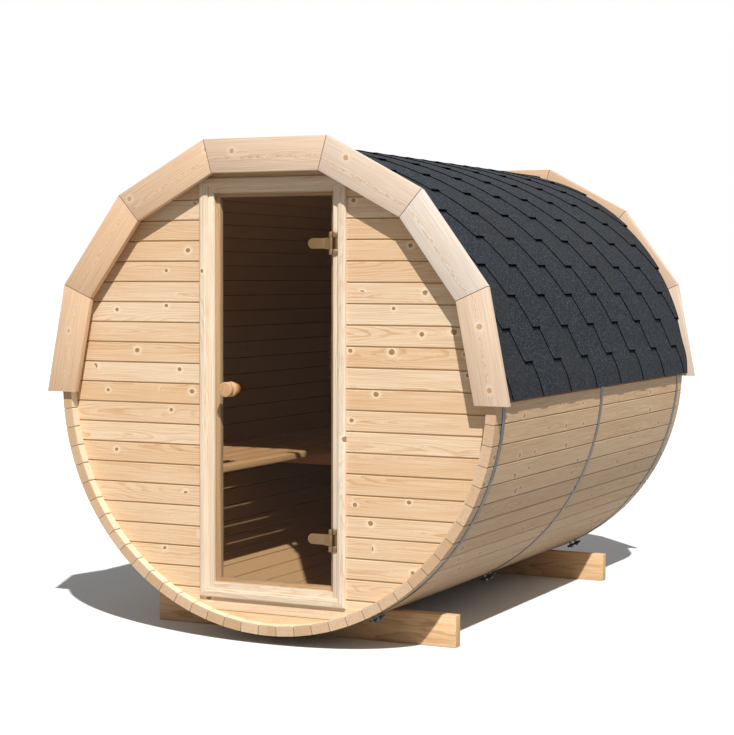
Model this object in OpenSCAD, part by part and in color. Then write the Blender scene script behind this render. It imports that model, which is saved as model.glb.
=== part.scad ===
// Garden sauna: a coopered barrel cabin that lies on two cradle skids.
// Bevelled staves are drawn together by three steel hoops, and the two flat end walls are let into
// a groove cut round the inside of the staves. The front wall has a framed glass door. A shingle
// roof covers the upper half between two arches of mitred fascia boards, and a slatted bench runs
// along the left side. Sizes are in millimetres. The barrel lies along Y, its front looks along -Y,
// and z = 0 is the ground under the skids.

/* [Barrel] */
// Outside diameter across the stave faces
barrel_d = 2000; // [1700:10:2300]
// Length of the staves
barrel_l = 2500; // [2000:10:3200]
// Thickness of a stave
stave_t = 42; // [36:1:50]
// Number of staves in each fifth of the barrel
staves_per_fifth = 15; // [12:1:18]
// Width of the bevel along each long edge of a stave
stave_bevel = 4; // [2:0.5:6]
// Depth of the groove in the staves that holds an end wall
croze_depth = 14; // [10:1:18]

/* [Hoops] */
// Width of the steel band
hoop_w = 30; // [20:1:45]
// Thickness of the steel band
hoop_t = 1.5; // [1:0.1:3]
// Distance from the stave ends to the middle of an outer hoop
hoop_inset = 82; // [60:1:140]
// Angle of the tension bolt from the underside, towards the right
lug_angle = 27; // [20:1:34]
// Height of the tension ears above the band
lug_h = 28; // [22:1:36]

/* [End walls] */
// Thickness of an end wall
wall_t = 42; // [34:1:50]
// Distance from the stave ends to the face of an end wall
wall_recess = 45; // [35:1:80]
// Cover width of one wall board
board_pitch = 85; // [70:1:110]
// Width of the V joint between two wall boards
board_joint = 9; // [5:0.5:12]

/* [Door] */
// Width of the glass leaf
door_w = 544; // [500:2:600]
// Clearance between the corners of the trim and the staves
door_clear = 26; // [12:1:80]
// Thickness of the glass
glass_t = 8; // [6:1:10]
// Running gap between the glass and the frame
door_gap = 5; // [5:0.5:8]
// Width of a frame member outside the running gap
jamb_w = 40; // [34:1:50]
// Depth of a frame member through the wall
jamb_d = 48; // [44:1:90]
// Width of the stop behind the glass
stop_w = 18; // [14:1:30]
// Width of the trim boards round the frame
trim_w = 36; // [30:1:44]
// Thickness of the trim boards
trim_t = 16; // [12:1:22]
// Width of the frame face left bare inside the trim
trim_setback = 25; // [23:1:28]

/* [Door fittings] */
// Length of a hinge clamp on the glass
clamp_l = 100; // [70:1:120]
// Height of a hinge clamp
clamp_h = 42; // [34:1:50]
// Height of a hinge knuckle over all
knuckle_h = 92; // [80:1:120]
// Radius of a hinge knuckle
knuckle_r = 9; // [8:0.5:10]
// Distance from an end of the glass to the middle of a hinge
hinge_end = 206; // [120:1:300]
// Diameter of the turned knob
knob_d = 62; // [44:1:70]
// Length of the turned knob
knob_l = 62; // [50:1:70]
// Distance from the closing edge of the glass to the knob
knob_inset = 80; // [60:1:120]
// Diameter of the flat knob inside
inside_knob_d = 46; // [36:1:56]
// Length of the flat knob inside
inside_knob_l = 24; // [20:1:36]

/* [Roof] */
// Angle from the crest to the eave on each side
eave_angle = 90.8; // [88:0.2:94]
// Number of shingle courses on each side
courses = 12; // [10:1:16]
// Thickness of a course where it leaves the one above
course_thin = 3; // [2:0.5:5]
// Thickness of a course at its lower edge
course_thick = 9; // [7:0.5:12]
// Thickness of the batten under the eave
batten_t = 14; // [10:1:20]
// Width of the batten under the eave
batten_w = 46; // [30:1:60]
// Angle that the ridge strip covers on each side of the crest
ridge_angle = 5; // [3:0.5:6]

/* [Fascia] */
// Distance from the barrel's face out to the outer corners of an arch
fascia_rise = 61; // [50:1:90]
// Distance from the barrel's face in to the inner corners of an arch
fascia_lap = 82; // [60:1:100]
// Angle from the crest to the first mitre
fascia_top_angle = 15.47; // [12:0.01:18]
// Angle from the crest to the lower end of an arch
fascia_end_angle = 91.6; // [88:0.2:94]
// Thickness of the fascia boards
fascia_t = 28; // [20:1:40]

/* [Skids] */
// Length of a skid
skid_l = 1416; // [1200:4:1700]
// Height of a skid
skid_h = 133; // [110:1:160]
// Thickness of a skid
skid_t = 50; // [40:1:80]
// Depth of wood left under the barrel
skid_web = 43; // [30:1:60]
// Distance from the stave ends to the middle of a skid
skid_inset = 325; // [200:5:500]

/* [Bench] */
// Height of the seat above the lowest inside point of the barrel
seat_h = 628; // [480:1:660]
// Number of seat slats
slats = 6; // [4:1:6]
// Width of a seat slat
slat_w = 90; // [70:1:96]
// Thickness of a seat slat
slat_t = 28; // [20:1:36]
// Gap between two slats
slat_gap = 14; // [8:1:20]
// Depth of a bearer under the slats
bearer_h = 70; // [45:1:100]
// Thickness of a bearer
bearer_t = 42; // [28:1:60]

/* [Hidden] */
// Clearance between pieces that are set against each other
fit = 0.3;
// Half of the saw cut left between mitred fascia boards, as an angle
mitre_half_angle = 0.02;
// Cutters reach this far past the faces they cut
over = 1;
$fn = 96;

// Barrel
barrel_r = barrel_d / 2;
inside_r = barrel_r - stave_t;
axis_z = barrel_r + skid_web;
stave_step = 72 / staves_per_fifth;
stave_face_half = stave_half(barrel_r) - stave_bevel;
front_y = -barrel_l / 2;

// Hoops lie on the corners of the staves
hoop_r = norm([barrel_r, stave_face_half]) + fit;
lug_t = 4;
lug_gap = 24;
lug_bolt_r = 5;
lug_bolt_l = 76;
lug_nut_r = 9;
lug_nut_h = 8;

// End walls
wall_r = inside_r + croze_depth - fit;
wall_y = front_y + wall_recess;
joint_depth = board_joint / 2;
groove_phase = 15.5;
groove_first = ceil((-wall_r - groove_phase) / board_pitch) + 1;
groove_last = floor((wall_r - groove_phase) / board_pitch) - 1;

// Door, measured from the barrel's axis
leaf_x = door_w / 2;
frame_x = leaf_x + door_gap;
rough_x = frame_x + jamb_w;
trim_x = frame_x + trim_setback;
trim_z = sqrt(pow(inside_r - door_clear, 2) - pow(trim_x + trim_w, 2)) - trim_w;
frame_z = trim_z - trim_setback;
rough_z = frame_z + jamb_w;
leaf_z = frame_z - door_gap;
trim_step = 8;
trim_ledge = 10;
mitre_gap = 0.4;
glass_y = wall_y + 6;
clamp_t = 3;
rebate_d = 6 + glass_t + clamp_t + door_gap + fit;

// Door fittings
hinge_offset = leaf_z - hinge_end;
hinge_x = leaf_x + 2;
hinge_y = wall_y - 12;
pin_r = 4;
pin_play = 0.05;
clamp_bolt_r = 5;
clamp_end = leaf_x - 10;
arm_x = leaf_x - 34;
leaf_knuckle_h = knuckle_h / 2;
knuckle_play = 0.5;
plate_t = 2;
knob_x = knob_inset - leaf_x;
stud_r = 4;
glass_hole_play = 1;

// Roof
roof_r = hoop_r + hoop_t + fit;
course_angle = eave_angle / courses;
roof_l = barrel_l - 2 * fit;
batten_angle = eave_angle - atan((batten_w / 2 - over) / roof_r);
batten_r = roof_r + fit;
batten_top_r = norm([batten_r + batten_t, batten_w / 2]) + fit;
batten_top_angle = batten_angle - atan(batten_w / 2 / batten_r) - 0.2;
ridge_t = 4;

// Fascia
fascia_r = barrel_r + fascia_rise;
fascia_in = barrel_r - fascia_lap;
fascia_side_angle = (fascia_end_angle - fascia_top_angle) / 3;
fascia_end_z = fascia_r * cos(fascia_end_angle);

// Skids
skid_y = barrel_l / 2 - skid_inset;
cradle_r = barrel_r / cos(stave_step / 2) + fit;

// Bench
seat_z = axis_z - inside_r + seat_h;
slat_bottom = seat_z - slat_t;
seat_back_x = -sqrt(pow(inside_r, 2) - pow(max(abs(seat_z - axis_z), abs(slat_bottom - axis_z)), 2)) + fit;
seat_d = slats * slat_w + (slats - 1) * slat_gap;
seat_front_x = seat_back_x + seat_d;
slat_end_gap = 12;
bench_y = -wall_y - max(jamb_d, wall_t) - slat_end_gap;
bearer_bottom = slat_bottom - fit - bearer_h;
bearer_back_x = seat_back_x;
bearer_inset = 30;

// A point at an angle from the top of the barrel, towards the right
function polar(angle, r) = [r * sin(angle), r * cos(angle)];

// Half of a stave's width at a height above the barrel's axis
function stave_half(z) = z * tan(stave_step / 2) - fit / 2;

// Radius at an angle on the straight line between two polar points
function chord_r(angle, a0, r0, a1, r1) =
    r0 * r1 * sin(a1 - a0) / (r0 * sin(angle - a0) + r1 * sin(a1 - angle));

// Stands an outline drawn in X and Z up on the barrel's axis, from y0 to y1
module along_y(y0, y1) {
    translate([0, y1, axis_z]) rotate([90, 0, 0]) linear_extrude(y1 - y0) children();
}

// A round bar along the barrel's axis
module axis_bar(r, y0, y1) {
    along_y(y0, y1) circle(r, $fn = 720);
}

// One stave at the top of the barrel, with bevelled edges and a groove near each end
module stave() {
    inside_half = stave_half(inside_r) - stave_bevel;
    z0 = inside_r + stave_bevel;
    z1 = barrel_r - stave_bevel;
    module croze(y0) {
        translate([-stave_half(barrel_r), y0 - fit, axis_z + inside_r - over])
            cube([2 * stave_half(barrel_r), wall_t + 2 * fit, croze_depth + over]);
    }
    difference() {
        along_y(front_y, -front_y) polygon([
            [-inside_half, inside_r], [inside_half, inside_r], [stave_half(z0), z0], [stave_half(z1), z1],
            [stave_face_half, barrel_r], [-stave_face_half, barrel_r], [-stave_half(z1), z1], [-stave_half(z0), z0]]);
        croze(wall_y);
        croze(-wall_y - wall_t);
    }
}

// Turns a piece about the barrel's axis, from the top towards the right
module around(angle) {
    translate([0, 0, axis_z]) rotate([0, angle, 0]) translate([0, 0, -axis_z]) children();
}

// A fifth of the barrel, centred on an angle
module stave_fifth(middle) {
    color("burlywood")
        for (i = [0 : staves_per_fifth - 1])
            around(middle + (i - (staves_per_fifth - 1) / 2) * stave_step) stave();
}

module staves_bottom() { stave_fifth(180); }
module staves_lower_right() { stave_fifth(108); }
module staves_upper_right() { stave_fifth(36); }
module staves_upper_left() { stave_fifth(-36); }
module staves_lower_left() { stave_fifth(-108); }

// A steel band whose two ends turn out into ears that a bolt draws together
module hoop(y) {
    ear_out = lug_gap / 2 + lug_t;
    ear_r = hoop_r + hoop_t + lug_h;
    module strip(half, top_r) {
        rotate(lug_angle - 180) translate([-half, 0]) square([2 * half, top_r]);
    }
    module bolt_part(r, x0, length, sides) {
        translate([x0, y, axis_z + hoop_r + lug_h * 0.6]) rotate([0, 90, 0])
            cylinder(h = length, r = r, $fn = sides);
    }
    color("gainsboro") {
        along_y(y - hoop_w / 2, y + hoop_w / 2) difference() {
            union() {
                circle(hoop_r + hoop_t, $fn = 720);
                strip(ear_out, ear_r);
            }
            circle(hoop_r, $fn = 720);
            strip(lug_gap / 2, ear_r + over);
        }
        around(180 - lug_angle) {
            bolt_part(lug_bolt_r, -lug_bolt_l / 2, lug_bolt_l, 24);
            bolt_part(lug_nut_r, ear_out - over, lug_nut_h + over, 6);
            bolt_part(lug_nut_r, -ear_out - lug_nut_h, lug_nut_h + over, 6);
        }
    }
}

module hoop_front() { hoop(front_y + hoop_inset); }
module hoop_middle() { hoop(0); }
module hoop_rear() { hoop(-front_y - hoop_inset); }

// A plank on edge, hollowed to the round of the barrel
module skid(y) {
    color("peru") difference() {
        translate([-skid_l / 2, y - skid_t / 2, 0]) cube([skid_l, skid_t, skid_h]);
        axis_bar(cradle_r, y - skid_t, y + skid_t);
    }
}

module skid_front() { skid(-skid_y); }
module skid_rear() { skid(skid_y); }

// A round wall of level boards with V joints on both faces, cut to a range of x and z
module end_wall(y, x0, x1, z0, z1) {
    profile = concat(
        [[-wall_r, 0]],
        [for (k = [groove_first : groove_last], p = [-1, 0, 1])
            [groove_phase + k * board_pitch + p * joint_depth, p == 0 ? joint_depth : 0]],
        [[wall_r, 0], [wall_r, wall_t]],
        [for (k = [groove_last : -1 : groove_first], p = [1, 0, -1])
            [groove_phase + k * board_pitch + p * joint_depth, wall_t - (p == 0 ? joint_depth : 0)]],
        [[-wall_r, wall_t]]);
    color("wheat") intersection() {
        axis_bar(wall_r, y, y + wall_t);
        translate([x0, y, axis_z]) rotate([0, 90, 0]) rotate([0, 0, 90]) mirror([0, 1, 0])
            linear_extrude(x1 - x0) polygon([for (p = profile) [p[1], -p[0]]]);
        translate([x0, y, axis_z + z0]) cube([x1 - x0, wall_t, z1 - z0]);
    }
}

module front_wall_left() { end_wall(wall_y, -wall_r, -rough_x - fit, -wall_r, wall_r); }
module front_wall_right() { end_wall(wall_y, rough_x + fit, wall_r, -wall_r, wall_r); }
module front_wall_top() { end_wall(wall_y, -rough_x, rough_x, rough_z + fit, wall_r); }
module front_wall_bottom() { end_wall(wall_y, -rough_x, rough_x, -wall_r, -rough_z - fit); }
module rear_wall() { end_wall(-wall_y - wall_t, -wall_r, wall_r, -wall_r, wall_r); }

// An upright of the door frame, with the stop behind the glass; side is -1 or 1
module door_jamb(side) {
    color("tan") scale([side, 1, 1])
        translate([0, wall_y, axis_z - rough_z]) linear_extrude(2 * rough_z)
            polygon([[frame_x, 0], [rough_x, 0], [rough_x, jamb_d], [frame_x - stop_w, jamb_d],
                [frame_x - stop_w, rebate_d], [frame_x, rebate_d]]);
}

module door_jamb_left() { door_jamb(-1); }
module door_jamb_right() { door_jamb(1); }

// A cross member of the door frame, between the uprights; side is -1 below and 1 above
module door_cross(side) {
    stop_half = frame_x - stop_w - fit;
    color("tan") translate([0, wall_y, axis_z]) scale([1, 1, side]) {
        translate([-frame_x + fit, 0, frame_z]) cube([2 * (frame_x - fit), rebate_d - fit, jamb_w]);
        translate([-stop_half, 0, 0]) rotate([90, 0, 90]) linear_extrude(2 * stop_half)
            polygon([[0, frame_z], [0, rough_z], [jamb_d, rough_z], [jamb_d, frame_z - stop_w],
                [rebate_d, frame_z - stop_w], [rebate_d, frame_z]]);
    }
}

module door_head() { door_cross(1); }
module door_sill() { door_cross(-1); }

// One layer of an upright trim board from u0 to u1 outside the trim's inner edge
module trim_upright_layer(side, u0, u1, depth) {
    module half(up) {
        polygon([[side * (trim_x + u0), 0], [side * (trim_x + u1), 0],
            [side * (trim_x + u1), up * (trim_z + u1 - mitre_gap)],
            [side * (trim_x + u0), up * (trim_z + u0 - mitre_gap)]]);
    }
    along_y(wall_y - depth, wall_y) { half(1); half(-1); }
}

// One layer of a level trim board
module trim_level_layer(side, u0, u1, depth) {
    along_y(wall_y - depth, wall_y)
        polygon([[-trim_x - u0, side * (trim_z + u0)], [trim_x + u0, side * (trim_z + u0)],
            [trim_x + u1, side * (trim_z + u1)], [-trim_x - u1, side * (trim_z + u1)]]);
}

module trim_upright(side) {
    color("navajowhite") {
        trim_upright_layer(side, 0, trim_w, trim_t - trim_ledge / 2);
        trim_upright_layer(side, trim_step, trim_w, trim_t);
    }
}

module trim_level(side) {
    color("navajowhite") {
        trim_level_layer(side, 0, trim_w, trim_t - trim_ledge / 2);
        trim_level_layer(side, trim_step, trim_w, trim_t);
    }
}

module trim_left() { trim_upright(-1); }
module trim_right() { trim_upright(1); }
module trim_top() { trim_level(1); }
module trim_bottom() { trim_level(-1); }

// A hole or bolt through the glass, along Y
module through_glass(x, z, r, y0, y1) {
    translate([x, y1, z]) rotate([90, 0, 0]) cylinder(h = y1 - y0, r = r);
}

module door_glass() {
    color("saddlebrown", 0.5) difference() {
        translate([-leaf_x, glass_y, axis_z - leaf_z]) cube([door_w, glass_t, 2 * leaf_z]);
        through_glass(knob_x, axis_z, stud_r + glass_hole_play, glass_y - over, glass_y + glass_t + over);
        for (side = [-1, 1])
            through_glass(clamp_end - clamp_l / 2, axis_z + side * hinge_offset,
                clamp_bolt_r + glass_hole_play, glass_y - over, glass_y + glass_t + over);
    }
}

// The moving half of a hinge: two plates that clamp the glass, and the middle knuckle
module hinge_leaf(z) {
    clamp_front = glass_y - fit - clamp_t;
    clamp_back = glass_y + glass_t + fit;
    module plate(y0) {
        translate([0, y0 + clamp_t, z]) rotate([90, 0, 0]) linear_extrude(clamp_t) {
            translate([clamp_end - clamp_l + clamp_h / 2, -clamp_h / 2])
                square([clamp_l - clamp_h / 2, clamp_h]);
            translate([clamp_end - clamp_l + clamp_h / 2, 0]) circle(clamp_h / 2);
        }
    }
    color("tan") {
        plate(clamp_front);
        plate(clamp_back);
        through_glass(clamp_end - clamp_l / 2, z, clamp_bolt_r, clamp_front + over, clamp_back + over);
        difference() {
            translate([0, 0, z - leaf_knuckle_h / 2]) linear_extrude(leaf_knuckle_h) {
                translate([hinge_x, hinge_y]) circle(knuckle_r);
                polygon([[arm_x, clamp_front], [arm_x, clamp_front + clamp_t],
                    [clamp_end, clamp_front + clamp_t], [hinge_x - knuckle_r / 3, hinge_y + knuckle_r / 2],
                    [hinge_x, hinge_y - knuckle_r / 2]]);
            }
            translate([hinge_x, hinge_y, z - knuckle_h]) cylinder(h = 2 * knuckle_h, r = pin_r + pin_play);
        }
    }
}

// The fixed half of a hinge: a plate on the frame, two outer knuckles and the pin
module hinge_plate(z) {
    outer_h = (knuckle_h - leaf_knuckle_h) / 2 - knuckle_play;
    plate_x = frame_x + 2;
    color("tan") {
        translate([plate_x, wall_y - plate_t, z - knuckle_h / 2])
            cube([trim_x - fit - plate_x, plate_t, knuckle_h]);
        for (z0 = [z - knuckle_h / 2, z + knuckle_h / 2 - outer_h])
            translate([0, 0, z0]) linear_extrude(outer_h) {
                translate([hinge_x, hinge_y]) circle(knuckle_r);
                polygon([[hinge_x, hinge_y - knuckle_r / 2], [hinge_x + knuckle_r, hinge_y],
                    [trim_x - fit - plate_t, wall_y - plate_t / 2], [plate_x, wall_y - plate_t / 2]]);
            }
        translate([hinge_x, hinge_y, z - knuckle_h / 2]) cylinder(h = knuckle_h, r = pin_r);
    }
}

module hinge_leaf_upper() { hinge_leaf(axis_z + hinge_offset); }
module hinge_leaf_lower() { hinge_leaf(axis_z - hinge_offset); }
module hinge_plate_upper() { hinge_plate(axis_z + hinge_offset); }
module hinge_plate_lower() { hinge_plate(axis_z - hinge_offset); }

// A turned knob with a waist, which carries the stud that passes through the glass
module knob_outside() {
    r = knob_d / 2;
    round_r = knob_l / 10;
    head = knob_l * 0.36;
    waist = r * 0.6;
    color("burlywood") translate([knob_x, glass_y - fit, axis_z]) rotate([90, 0, 0]) rotate_extrude()
        polygon([[0, 0], [r - round_r, 0], [r, round_r], [r, head - round_r], [r - round_r, head],
            [waist, knob_l / 2], [r - round_r, knob_l - head], [r, knob_l - head + round_r],
            [r, knob_l - round_r], [r - round_r, knob_l], [0, knob_l]]);
    color("silver") through_glass(knob_x, axis_z, stud_r, glass_y - fit - over,
        glass_y + glass_t + fit + inside_knob_l / 2 - over);
}

// A flat turned knob on a narrower foot, screwed onto the stud
module knob_inside() {
    r = inside_knob_d / 2;
    round_r = inside_knob_l / 8;
    foot = inside_knob_l * 0.42;
    color("burlywood") translate([knob_x, glass_y + glass_t + fit, axis_z]) rotate([-90, 0, 0]) difference() {
        rotate_extrude() polygon([[0, 0], [r * 0.7, 0], [r * 0.6, foot * 0.7], [r - round_r, foot],
            [r, foot + round_r], [r, inside_knob_l - round_r], [r - round_r, inside_knob_l], [0, inside_knob_l]]);
        translate([0, 0, -over]) cylinder(h = inside_knob_l / 2 + over, r = stud_r + fit);
    }
}

// A strip under the lowest course, which tips it away from the staves
module batten_outline(side, play, below) {
    rotate(-side * batten_angle)
        translate([-batten_w / 2 - play, batten_r - below])
            square([batten_w + 2 * play, batten_t + play + below]);
}

module eave_batten(side) {
    color("burlywood") along_y(front_y + fit, -front_y - fit) batten_outline(side, 0, 0);
}

module eave_batten_left() { eave_batten(-1); }
module eave_batten_right() { eave_batten(1); }

// Lapped shingle courses from the crest to the eave; the lowest rises over the batten
module roof_side(side) {
    outline = concat(
        [for (k = [0 : courses - 1], end = [0, 1])
            if (k < courses - 1 || end == 0)
                polar((k + end) * course_angle, roof_r + (end == 0 ? course_thin : course_thick))],
        [polar(batten_top_angle, batten_top_r + course_thin), polar(eave_angle, batten_top_r + course_thick)],
        [for (j = [2 * courses : -1 : 0]) polar(j * course_angle / 2, roof_r / cos(course_angle / 4))]);
    color("darkslategray") difference() {
        along_y(-roof_l / 2, roof_l / 2) polygon([for (p = outline) [side * p[0], p[1]]]);
        along_y(-roof_l, roof_l) batten_outline(side, fit, batten_t);
    }
}

module roof_left() { roof_side(-1); }
module roof_right() { roof_side(1); }

// A folded strip over the crest, which laps the first course on each side
module roof_ridge() {
    crest_r = roof_r + course_thin + fit;
    edge_r = fit + chord_r(ridge_angle, 0, roof_r + course_thin, course_angle, roof_r + course_thick);
    color("darkslategray") along_y(-roof_l / 2, roof_l / 2)
        polygon([polar(-ridge_angle, edge_r), polar(-ridge_angle, edge_r + ridge_t),
            polar(0, crest_r + ridge_t), polar(ridge_angle, edge_r + ridge_t),
            polar(ridge_angle, edge_r), polar(0, crest_r)]);
}

// Seven boards mitred into an arch; the lowest are cut level just below the eaves
module fascia(y) {
    function corner(i) = fascia_top_angle + i * fascia_side_angle;
    function inner_end(p, q, r) = r + (q - p) * (fascia_end_z - r[1]) / (q[1] - p[1]);
    module side_board(side, i) {
        a0 = corner(i) + mitre_half_angle;
        a1 = corner(i + 1) - mitre_half_angle;
        outer = [polar(a0, fascia_r), polar(a1, fascia_r)];
        inner = polar(a0, fascia_in);
        inner_low = i == 2 ? inner_end(outer[0], outer[1], inner) : polar(a1, fascia_in);
        polygon([for (p = [outer[0], outer[1], inner_low, inner]) [side * p[0], p[1]]]);
    }
    color("moccasin") {
        along_y(y, y + fascia_t) polygon([for (e = [[-1, fascia_r], [1, fascia_r], [1, fascia_in], [-1, fascia_in]])
            polar(e[0] * (fascia_top_angle - mitre_half_angle), e[1])]);
        for (side = [-1, 1], i = [0 : 2])
            along_y(y, y + fascia_t) side_board(side, i);
    }
}

module fascia_front() { fascia(front_y - fascia_t); }
module fascia_rear() { fascia(-front_y); }

// Seat slats along the left side
module bench_slats() {
    color("wheat") for (i = [0 : slats - 1])
        translate([seat_back_x + i * (slat_w + slat_gap), -bench_y, slat_bottom])
            cube([slat_w, 2 * bench_y, slat_t]);
}

// Bearers against both ends and in the middle, whose backs lie on the staves
module bench_bearers() {
    module bearer(y) {
        intersection() {
            translate([bearer_back_x, y - bearer_t / 2, bearer_bottom])
                cube([seat_front_x - bearer_inset - bearer_back_x, bearer_t, bearer_h]);
            axis_bar(inside_r - fit, y - bearer_t, y + bearer_t);
        }
    }
    end_y = bench_y + slat_end_gap - fit - bearer_t / 2;
    color("wheat") for (y = [-end_y, 0, end_y]) bearer(y);
}

staves_bottom();
staves_lower_right();
staves_upper_right();
staves_upper_left();
staves_lower_left();
hoop_front();
hoop_middle();
hoop_rear();
skid_front();
skid_rear();
front_wall_left();
front_wall_right();
front_wall_top();
front_wall_bottom();
rear_wall();
door_jamb_left();
door_jamb_right();
door_head();
door_sill();
trim_left();
trim_right();
trim_top();
trim_bottom();
door_glass();
hinge_leaf_upper();
hinge_leaf_lower();
hinge_plate_upper();
hinge_plate_lower();
knob_outside();
knob_inside();
eave_batten_left();
eave_batten_right();
roof_left();
roof_right();
roof_ridge();
fascia_front();
fascia_rear();
bench_slats();
bench_bearers();
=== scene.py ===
"""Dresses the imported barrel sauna: planed spruce, lapped shingles, steel hoops and a bronze glass door."""
import logging
import math
from contextlib import contextmanager
from dataclasses import dataclass
from enum import Enum
from typing import Callable, Iterable, Iterator, Sequence, Union

import bmesh
import bpy
from mathutils import Euler, Matrix, Vector


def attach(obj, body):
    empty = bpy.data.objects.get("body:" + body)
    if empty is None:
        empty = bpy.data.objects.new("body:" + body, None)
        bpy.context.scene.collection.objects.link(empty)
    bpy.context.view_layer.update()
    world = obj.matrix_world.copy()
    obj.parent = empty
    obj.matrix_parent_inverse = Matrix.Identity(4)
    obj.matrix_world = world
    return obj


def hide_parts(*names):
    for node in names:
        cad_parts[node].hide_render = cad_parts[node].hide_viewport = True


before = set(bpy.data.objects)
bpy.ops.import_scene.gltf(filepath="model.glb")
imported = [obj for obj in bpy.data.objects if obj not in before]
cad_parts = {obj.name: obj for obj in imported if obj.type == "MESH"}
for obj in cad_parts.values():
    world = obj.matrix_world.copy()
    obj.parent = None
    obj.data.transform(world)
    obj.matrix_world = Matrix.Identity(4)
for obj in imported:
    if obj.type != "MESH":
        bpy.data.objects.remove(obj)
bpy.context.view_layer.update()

LOG = logging.getLogger("sauna")
Colour = tuple[float, float, float]
Material = bpy.types.Material
Number = Union[float, "Value"]
Pair = tuple[float, float]
Piece = bpy.types.Object
Point = tuple[float, float, float]

# In metres: how near two places are one, how near corners merge, what a long edge is, and the gap between
# pieces that meet
CLOSE = 1e-5
MERGE = 1e-6
LONG = 0.01
PLAY = 0.0003
# How far a flat face may bend
FLAT = math.radians(0.4)
# Sizes shared with the part, in metres
AXIS_Z = 1.043
BARREL_R = 1.0
HALF_LENGTH = 1.25
STAVE_STEP = math.radians(4.8)
WALL_FACE_Y = -1.205
BOARD_PITCH = 0.085
BOARD_PHASE = 0.0155
DOOR_FRAME_X = 0.31
KNOB_X = -0.192
FASCIA_FACE_Y = 1.278
FASCIA_MIDDLE_R = 0.965
FASCIA_TOP = math.radians(15.47)
FASCIA_END = math.radians(91.6)
FASCIA_STEP = (FASCIA_END - FASCIA_TOP) / 3
EAVE = math.radians(90.8)


class Body(Enum):
    """The bodies of the part that pieces ride on."""

    CABIN = "root"
    DOOR = "door"


class Slot(Enum):
    """The record's material slots that new pieces stand for."""

    FRAME = "frame_wood"
    FASCIA = "fascia_wood"
    SKID = "skid_wood"
    BENCH = "bench_wood"
    KNOB = "knob_wood"
    SHINGLE = "shingle"
    HINGE = "hinge_metal"


def operator(operation: str, swapped: bool = False) -> Callable[["Value", Number], "Value"]:
    """Makes an arithmetic operator for Value.

    Args:
        operation: the Math node's operation.
        swapped: true where the other value stands first.

    Returns:
        The operator's method.
    """
    def add_node(value: "Value", other: Number) -> "Value":
        """Adds the Math node."""
        first, second = (other, value) if swapped else (value, other)
        return value.graph.node("ShaderNodeMath", {"operation": operation}, {0: first, 1: second})
    return add_node


class Value:
    """A socket in a node tree, so that maths on it is written as an expression."""

    def __init__(self, graph: "Graph", socket: bpy.types.NodeSocket) -> None:
        """Keeps the graph and the socket."""
        self.graph = graph
        self.socket = socket

    __add__, __radd__ = operator("ADD"), operator("ADD", True)
    __sub__, __rsub__ = operator("SUBTRACT"), operator("SUBTRACT", True)
    __mul__, __rmul__ = operator("MULTIPLY"), operator("MULTIPLY", True)
    __truediv__, __rtruediv__ = operator("DIVIDE"), operator("DIVIDE", True)

    def __abs__(self) -> "Value":
        """Size without sign."""
        return self.maths("ABSOLUTE")

    def maths(self, operation: str, *others: Number) -> "Value":
        """Adds a Math node with this value first.

        Args:
            operation: the Math node's operation.
            others: the values after this one.

        Returns:
            The result.
        """
        return self.graph.node("ShaderNodeMath", {"operation": operation}, dict(enumerate((self, *others))))

    def other(self, output: str) -> "Value":
        """Another output of the node that this value comes from."""
        return Value(self.graph, self.socket.node.outputs[output])

    def smooth(self, low: float, high: float) -> "Value":
        """0 below low, 1 above high, and a smooth step between."""
        return self.graph.node("ShaderNodeMapRange", {"interpolation_type": "SMOOTHSTEP"},
                               {"Value": self, "From Min": low, "From Max": high})


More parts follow.
